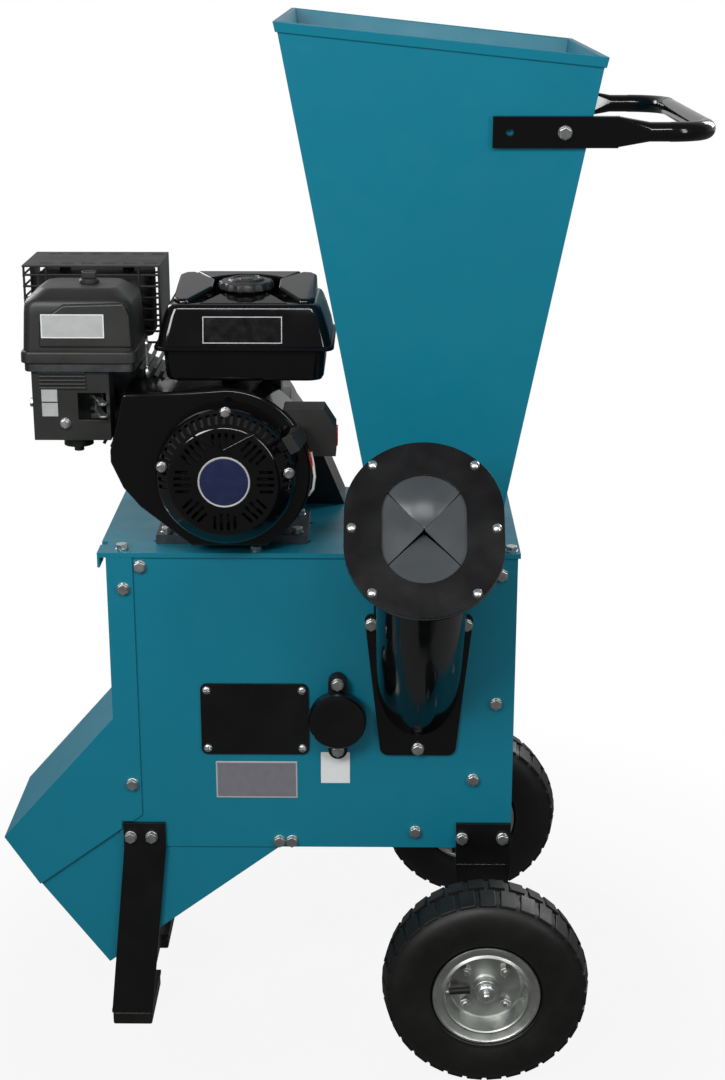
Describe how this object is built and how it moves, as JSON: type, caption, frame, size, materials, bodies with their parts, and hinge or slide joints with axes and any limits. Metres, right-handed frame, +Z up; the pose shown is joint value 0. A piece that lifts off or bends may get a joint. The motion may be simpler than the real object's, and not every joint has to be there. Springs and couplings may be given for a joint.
{
  "type": "garden shredder",
  "caption": "Petrol garden shredder on wheels: sheet body with rotor and belt drive, tall feed hopper, slanted branch chute with rubber flaps, discharge hood and push handle.",
  "frame": {"origin": "on the ground, under the middle of the machine's bounding box", "axes": "+X towards the push handle and wheels, +Y from the branch chute's side to the back, +Z up"},
  "size_m": [0.862, 0.7192, 1.294],
  "materials": {
    "teal_paint": "satin powder coat",
    "black_paint": "gloss black enamel",
    "black_plastic": "fine grained black moulding",
    "engine_alloy": "cast, dull",
    "cast_iron": "machined and oiled",
    "zinc_steel": "bright zinc",
    "rim_steel": "galvanised",
    "blade_steel": "ground",
    "rubber": "matt",
    "tyre": "matt",
    "red_plastic": "gloss"
  },
  "bodies": {
    "frame": {"front_panel": "teal_paint", "body_wrap": "teal_paint", "partition_wall": "teal_paint", "rear_cover": "teal_paint", "deck": "teal_paint", "discharge_hood": "teal_paint", "discharge_trough": "teal_paint", "hopper_front": "teal_paint", "hopper_rear": "teal_paint", "hopper_left": "teal_paint", "hopper_right": "teal_paint", "push_handle": "black_paint", "leg_stand": "black_paint", "rubber_feet": "rubber", "axle_brackets": "black_paint", "axle": "zinc_steel", "feed_chute": "black_paint", "chute_rubber": "rubber", "chute_ring": "black_paint", "inspection_plate": "black_paint", "shaft_bearings": "cast_iron", "bearing_cap": "black_paint", "bed_knife": "blade_steel", "belt_guard": "black_paint", "drive_belt": "rubber", "hex_bolts": "zinc_steel", "cover_screws": "zinc_steel", "engine_block": "engine_alloy", "blower_housing": "black_paint", "recoil_cover": "black_paint", "fuel_tank": "black_paint", "air_cleaner_cover": "black_plastic", "carburettor": "engine_alloy", "control_cover": "black_plastic", "muffler": "black_paint", "muffler_guard": "black_paint", "switch_box": "black_plastic"},
    "near_wheel": {"near_tyre": "tyre", "near_rim": "rim_steel"},
    "far_wheel": {"far_tyre": "tyre", "far_rim": "rim_steel"},
    "rotor": {"rotor_shaft": "blade_steel", "rotor_disc": "blade_steel", "rotor_blades": "blade_steel", "rotor_pulley": "cast_iron"},
    "crank": {"crankshaft": "blade_steel", "engine_pulley": "cast_iron", "flywheel": "cast_iron"},
    "starter_reel": {"starter_reel": "engine_alloy"},
    "starter_handle": {"starter_handle": "black_plastic"},
    "throttle_lever": {"throttle_lever": "zinc_steel"},
    "choke_lever": {"choke_lever": "zinc_steel"},
    "fuel_lever": {"fuel_lever": "zinc_steel"},
    "engine_switch": {"engine_switch": "red_plastic"},
    "fuel_cap": {"fuel_cap": "black_plastic"},
    "air_cleaner_knob": {"air_cleaner_knob": "black_plastic"},
    "flap_top": {"flap_top": "rubber"},
    "flap_bottom": {"flap_bottom": "rubber"},
    "flap_left": {"flap_left": "rubber"},
    "flap_right": {"flap_right": "rubber"}
  },
  "joints": [
    {"name": "near_wheel_spin", "type": "hinge", "parent": "frame", "child": "near_wheel", "pos_m": [0.1875, -0.16891, 0.13], "axis": [0, 1, 0], "continuous": true},
    {"name": "far_wheel_spin", "type": "hinge", "parent": "frame", "child": "far_wheel", "pos_m": [0.1875, 0.31709, 0.13], "axis": [0, 1, 0], "continuous": true},
    {"name": "rotor_spin", "type": "hinge", "parent": "frame", "child": "rotor", "pos_m": [0.001, -0.06791, 0.45], "axis": [0, 1, 0], "continuous": true},
    {"name": "crank_spin", "type": "hinge", "parent": "frame", "child": "crank", "pos_m": [-0.131, -0.06791, 0.77], "axis": [0, 1, 0], "continuous": true},
    {"name": "reel_turn", "type": "hinge", "parent": "frame", "child": "starter_reel", "pos_m": [-0.131, -0.10491, 0.77], "axis": [0, 1, 0], "range_deg": [0, 640], "stiffness_Nm_per_rad": 0.03},
    {"name": "starter_pull", "type": "slide", "parent": "frame", "child": "starter_handle", "axis": [0.8529, -0.1504, 0.5], "range_m": [0, 0.45]},
    {"name": "throttle_turn", "type": "hinge", "parent": "frame", "child": "throttle_lever", "pos_m": [-0.228, -0.04791, 0.886], "axis": [1, 0, 0], "range_deg": [-25, 25]},
    {"name": "choke_turn", "type": "hinge", "parent": "frame", "child": "choke_lever", "pos_m": [-0.29, -0.04591, 0.854], "axis": [0, 0, 1], "range_deg": [-40, 0]},
    {"name": "fuel_turn", "type": "hinge", "parent": "frame", "child": "fuel_lever", "pos_m": [-0.29, -0.04591, 0.839], "axis": [0, 0, 1], "range_deg": [-40, 0]},
    {"name": "switch_rock", "type": "hinge", "parent": "frame", "child": "engine_switch", "pos_m": [-0.001, -0.05291, 0.809], "axis": [0, 1, 0], "range_deg": [-8, 8]},
    {"name": "fuel_cap_turn", "type": "hinge", "parent": "frame", "child": "fuel_cap", "pos_m": [-0.109, 0.00259, 0.985], "axis": [0, 0, 1], "range_deg": [0, 100]},
    {"name": "cleaner_knob_turn", "type": "hinge", "parent": "frame", "child": "air_cleaner_knob", "pos_m": [-0.295, -0.02391, 0.995], "axis": [0, 0, 1], "continuous": true},
    {"name": "flap_top_swing", "type": "hinge", "parent": "frame", "child": "flap_top", "pos_m": [0.102, -0.24822, 0.79112], "axis": [1, 0, 0], "range_deg": [0, 60], "stiffness_Nm_per_rad": 0.05},
    {"name": "flap_bottom_swing", "type": "hinge", "parent": "frame", "child": "flap_bottom", "pos_m": [0.102, -0.30903, 0.73031], "axis": [-1, 0, 0], "range_deg": [0, 60], "stiffness_Nm_per_rad": 0.05},
    {"name": "flap_left_swing", "type": "hinge", "parent": "frame", "child": "flap_left", "pos_m": [0.0635, -0.27863, 0.76072], "axis": [0, 0.7071, 0.7071], "range_deg": [0, 60], "stiffness_Nm_per_rad": 0.05},
    {"name": "flap_right_swing", "type": "hinge", "parent": "frame", "child": "flap_right", "pos_m": [0.1405, -0.27863, 0.76072], "axis": [0, -0.7071, -0.7071], "range_deg": [0, 60], "stiffness_Nm_per_rad": 0.05}
  ],
  "couplings": [
    {"joint": "crank_spin", "follows": "rotor_spin", "ratio": 1.4118},
    {"joint": "starter_pull", "follows": "reel_turn", "m_per_rad": 0.04}
  ]
}
